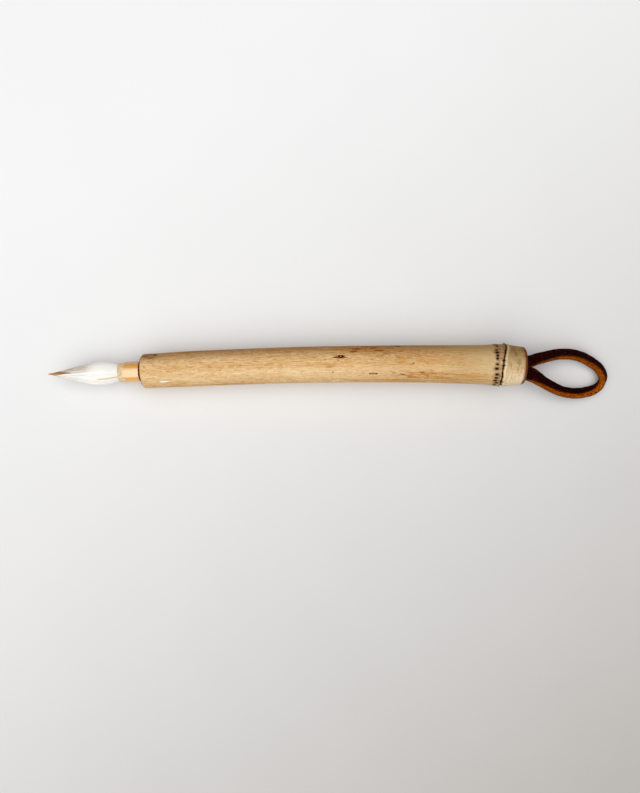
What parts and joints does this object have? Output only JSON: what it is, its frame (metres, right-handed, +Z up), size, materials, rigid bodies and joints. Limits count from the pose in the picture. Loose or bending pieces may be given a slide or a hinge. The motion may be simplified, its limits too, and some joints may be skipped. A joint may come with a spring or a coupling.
{
  "type": "calligraphy brush",
  "caption": "Calligraphy brush: a bowed bamboo handle with a node, a thin bamboo ferrule, a pointed tied head of hair and a leather hanging loop.",
  "frame": {"origin": "on the table, under the middle of the box around the brush without its lace", "axes": "+X along the brush from the hair's tip to the hanging loop, +Z up, +Y to the side the handle bows to"},
  "size_m": [0.2746, 0.027, 0.0204],
  "materials": {
    "bamboo_culm": "natural bamboo skin, satin, with fibres, specks and stains",
    "bamboo_tube": "glossy orange-yellow bamboo skin, pale and matt where it is whittled",
    "lacquer_glue": "dark brown lacquer glue",
    "white_hair": "fine creamy white hair",
    "brown_hair": "stiff caramel brown hair",
    "silk_thread": "undyed silk",
    "rosin": "amber brown rosin",
    "lace_leather": "near-black maroon faces, raw tan edges"
  },
  "bodies": {
    "handle": {"handle": "bamboo_culm", "ferrule": "bamboo_tube", "ferrule_glue": "lacquer_glue", "root_thread": "silk_thread", "root_seal": "rosin", "head_glue": "lacquer_glue", "lace_glue": "lacquer_glue"},
    "tuft": {"core_hair": "brown_hair", "belly_hair": "white_hair", "cover_hair": "white_hair"},
    "loop": {"lace": "lace_leather"}
  },
  "joints": [
    {"name": "tuft_bend", "type": "hinge", "parent": "handle", "child": "tuft", "pos_m": [-0.08062, -0.00097, 0.00824], "axis": [0, 1, 0], "range_deg": [-50, 50], "stiffness_Nm_per_rad": 0.012, "deforming": ["core_hair", "belly_hair", "cover_hair"]},
    {"name": "loop_swing", "type": "hinge", "parent": "handle", "child": "loop", "pos_m": [0.11517, -0.00054, 0.0103], "axis": [0, 1, 0], "range_deg": [-75, 75], "stiffness_Nm_per_rad": 0.05, "deforming": ["lace"]}
  ]
}
